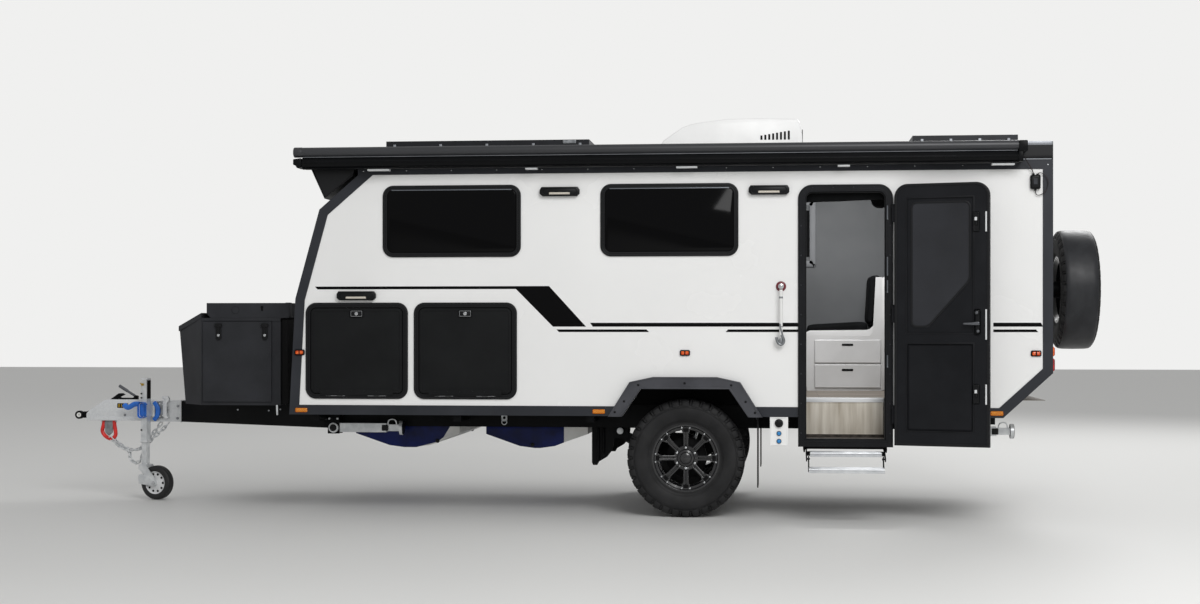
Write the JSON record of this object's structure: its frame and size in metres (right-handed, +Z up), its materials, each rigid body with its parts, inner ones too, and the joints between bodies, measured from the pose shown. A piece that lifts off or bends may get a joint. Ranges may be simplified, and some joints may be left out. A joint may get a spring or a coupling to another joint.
{
  "type": "single-axle pop-top caravan",
  "caption": "Single-axle pop-top touring caravan with a lifting roof, hinged doors, storage hatches, drawbar box, folding step and jockey wheel.",
  "frame": {"origin": "centre of the whole footprint on the floor, midway between the tow eye and the spare tyre and between the lower step's front edge and the right wheel flare", "axes": "+X forward to the coupling, +Y to the left (entry door) side, +Z up"},
  "size_m": [7.19, 2.4, 2.672],
  "materials": {
    "wall_panel": "smooth white composite sheet",
    "black_trim": "satin charcoal",
    "black_frame": "satin black powder coat",
    "acrylic": "dark tinted acrylic",
    "door_skin": "satin black",
    "chassis_paint": "gloss black chassis paint",
    "floor_ply": "dark vinyl over plywood",
    "flare_plastic": "textured black",
    "well_liner": "matt black",
    "flap_rubber": "matt black",
    "tyre": "black rubber",
    "rim_paint": "gloss black",
    "tank_plastic": "dark blue",
    "galvanised": "galvanised",
    "hitch_black": "black",
    "jockey_rubber": "black rubber tyre on a white rim",
    "step_aluminium": "silver",
    "box_texture": "textured black powder coat",
    "roof_skin": "grey white sheet with black edges",
    "peak_plastic": "satin black",
    "awning_case": "satin black",
    "solar_cell": "black cells under glass",
    "ac_plastic": "white",
    "skirt_fabric": "dark grey canvas",
    "handle_plastic": "white bar in grey brackets",
    "lamp_plastic": "black housings",
    "panel_plastic": "white",
    "cabinet_board": "light grey board",
    "upholstery": "black",
    "cable": "black"
  },
  "bodies": {
    "caravan": {"chassis_frame": "chassis_paint", "floor": "floor_ply", "left_wall": "wall_panel", "right_wall": "wall_panel", "front_wall": "wall_panel", "rear_wall": "wall_panel", "body_trims": "black_trim", "window_frames": "black_frame", "window_glass": "acrylic", "hatch_frames": "black_frame", "door_frame": "black_frame", "wheel_arch_flares": "flare_plastic", "wheel_wells": "well_liner", "mud_flaps": "flap_rubber", "suspension_arms": "chassis_paint", "suspension_springs": "chassis_paint", "water_tanks": "tank_plastic", "drawbar_head": "galvanised", "coupling_body": "galvanised", "tow_ring": "hitch_black", "handbrake_lever": "hitch_black", "jockey_tube": "galvanised", "front_box": "box_texture", "pop_top_skirt": "skirt_fabric", "spare_tyre": "tyre", "spare_rim": "rim_paint", "spare_carrier": "chassis_paint", "grab_handle": "handle_plastic", "lamps": "lamp_plastic", "service_panel": "panel_plastic", "cabin_furniture": "cabinet_board", "cushions": "upholstery", "awning_lead": "cable"},
    "left_wheel": {"left_tyre": "tyre", "left_rim": "rim_paint"},
    "right_wheel": {"right_tyre": "tyre", "right_rim": "rim_paint"},
    "entry_door": {"entry_door": "door_skin", "door_glass": "acrylic"},
    "left_front_hatch": {"left_front_hatch": "door_skin"},
    "left_rear_hatch": {"left_rear_hatch": "door_skin"},
    "right_hatch": {"right_hatch": "door_skin"},
    "left_box_door": {"left_box_door": "box_texture"},
    "right_box_door": {"right_box_door": "box_texture"},
    "box_tray_lid": {"box_tray_lid": "box_texture"},
    "box_nose_lid": {"box_nose_lid": "box_texture"},
    "roof": {"roof": "roof_skin", "roof_peak": "peak_plastic", "awning": "awning_case", "solar_panels": "solar_cell", "air_conditioner": "ac_plastic"},
    "jockey_leg": {"jockey_leg": "galvanised"},
    "jockey_fork": {"jockey_fork": "galvanised"},
    "jockey_wheel": {"jockey_wheel": "jockey_rubber"},
    "step_upper": {"step_upper": "step_aluminium"},
    "step_lower": {"step_lower": "step_aluminium"},
    "front_left_leg": {"front_left_leg": "galvanised"},
    "front_right_leg": {"front_right_leg": "galvanised"},
    "rear_left_leg": {"rear_left_leg": "galvanised"},
    "rear_right_leg": {"rear_right_leg": "galvanised"}
  },
  "joints": [
    {"name": "left_wheel_spin", "type": "hinge", "parent": "caravan", "child": "left_wheel", "pos_m": [-0.93, 0.76, 0.385], "axis": [0, 1, 0], "continuous": true},
    {"name": "right_wheel_spin", "type": "hinge", "parent": "caravan", "child": "right_wheel", "pos_m": [-0.93, -0.97, 0.385], "axis": [0, 1, 0], "continuous": true},
    {"name": "entry_door_hinge", "type": "hinge", "parent": "caravan", "child": "entry_door", "pos_m": [-2.258, 0.986, 1.313], "axis": [0, 0, 1], "range_deg": [-164, 12]},
    {"name": "left_front_hatch_hinge", "type": "hinge", "parent": "caravan", "child": "left_front_hatch", "pos_m": [1.2355, 0.9573, 0.792], "axis": [-1, 0, 0], "range_deg": [0, 95]},
    {"name": "left_rear_hatch_hinge", "type": "hinge", "parent": "caravan", "child": "left_rear_hatch", "pos_m": [0.51, 0.9573, 0.792], "axis": [-1, 0, 0], "range_deg": [0, 95]},
    {"name": "right_hatch_hinge", "type": "hinge", "parent": "caravan", "child": "right_hatch", "pos_m": [1.2355, -1.1673, 0.792], "axis": [1, 0, 0], "range_deg": [0, 95]},
    {"name": "left_box_door_hinge", "type": "hinge", "parent": "caravan", "child": "left_box_door", "pos_m": [2.155, 0.609, 0.728], "axis": [-1, 0, 0], "range_deg": [0, 100]},
    {"name": "right_box_door_hinge", "type": "hinge", "parent": "caravan", "child": "right_box_door", "pos_m": [2.155, -0.819, 0.728], "axis": [1, 0, 0], "range_deg": [0, 100]},
    {"name": "box_tray_lid_hinge", "type": "hinge", "parent": "caravan", "child": "box_tray_lid", "pos_m": [1.797, -0.105, 1.303], "axis": [0, -1, 0], "range_deg": [0, 75]},
    {"name": "box_nose_lid_hinge", "type": "hinge", "parent": "caravan", "child": "box_nose_lid", "pos_m": [2.411, -0.105, 1.338], "axis": [0, -1, 0], "range_deg": [0, 85]},
    {"name": "roof_lift", "type": "slide", "parent": "caravan", "child": "roof", "axis": [0, 0, 1], "range_m": [0, 0.45], "deforming": ["pop_top_skirt", "awning_lead"]},
    {"name": "jockey_slide", "type": "slide", "parent": "caravan", "child": "jockey_leg", "axis": [0, 0, 1], "range_m": [-0.1, 0.14]},
    {"name": "jockey_swivel", "type": "hinge", "parent": "jockey_leg", "child": "jockey_fork", "pos_m": [3.015, 0.03, 0.262], "axis": [0, 0, 1], "continuous": true},
    {"name": "jockey_wheel_spin", "type": "hinge", "parent": "jockey_fork", "child": "jockey_wheel", "pos_m": [2.91841, 0.05588, 0.122], "axis": [0.2588, 0.9659, 0], "continuous": true},
    {"name": "step_fold", "type": "hinge", "parent": "caravan", "child": "step_upper", "pos_m": [-1.9585, 0.88, 0.455], "axis": [1, 0, 0], "range_deg": [-160, 0]},
    {"name": "step_lower_fold", "type": "hinge", "parent": "step_upper", "child": "step_lower", "pos_m": [-1.9585, 1.03, 0.4], "axis": [1, 0, 0], "range_deg": [0, 180]},
    {"name": "front_left_leg_drop", "type": "hinge", "parent": "caravan", "child": "front_left_leg", "pos_m": [1.455, 0.665, 0.562], "axis": [0, -1, 0], "range_deg": [0, 90]},
    {"name": "front_right_leg_drop", "type": "hinge", "parent": "caravan", "child": "front_right_leg", "pos_m": [1.455, -0.875, 0.562], "axis": [0, -1, 0], "range_deg": [0, 90]},
    {"name": "rear_left_leg_drop", "type": "hinge", "parent": "caravan", "child": "rear_left_leg", "pos_m": [-2.58, 0.665, 0.562], "axis": [0, -1, 0], "range_deg": [0, 90]},
    {"name": "rear_right_leg_drop", "type": "hinge", "parent": "caravan", "child": "rear_right_leg", "pos_m": [-2.58, -0.875, 0.562], "axis": [0, -1, 0], "range_deg": [0, 90]}
  ],
  "couplings": [
    {"joint": "step_lower_fold", "follows": "step_fold", "ratio": -1.125}
  ]
}
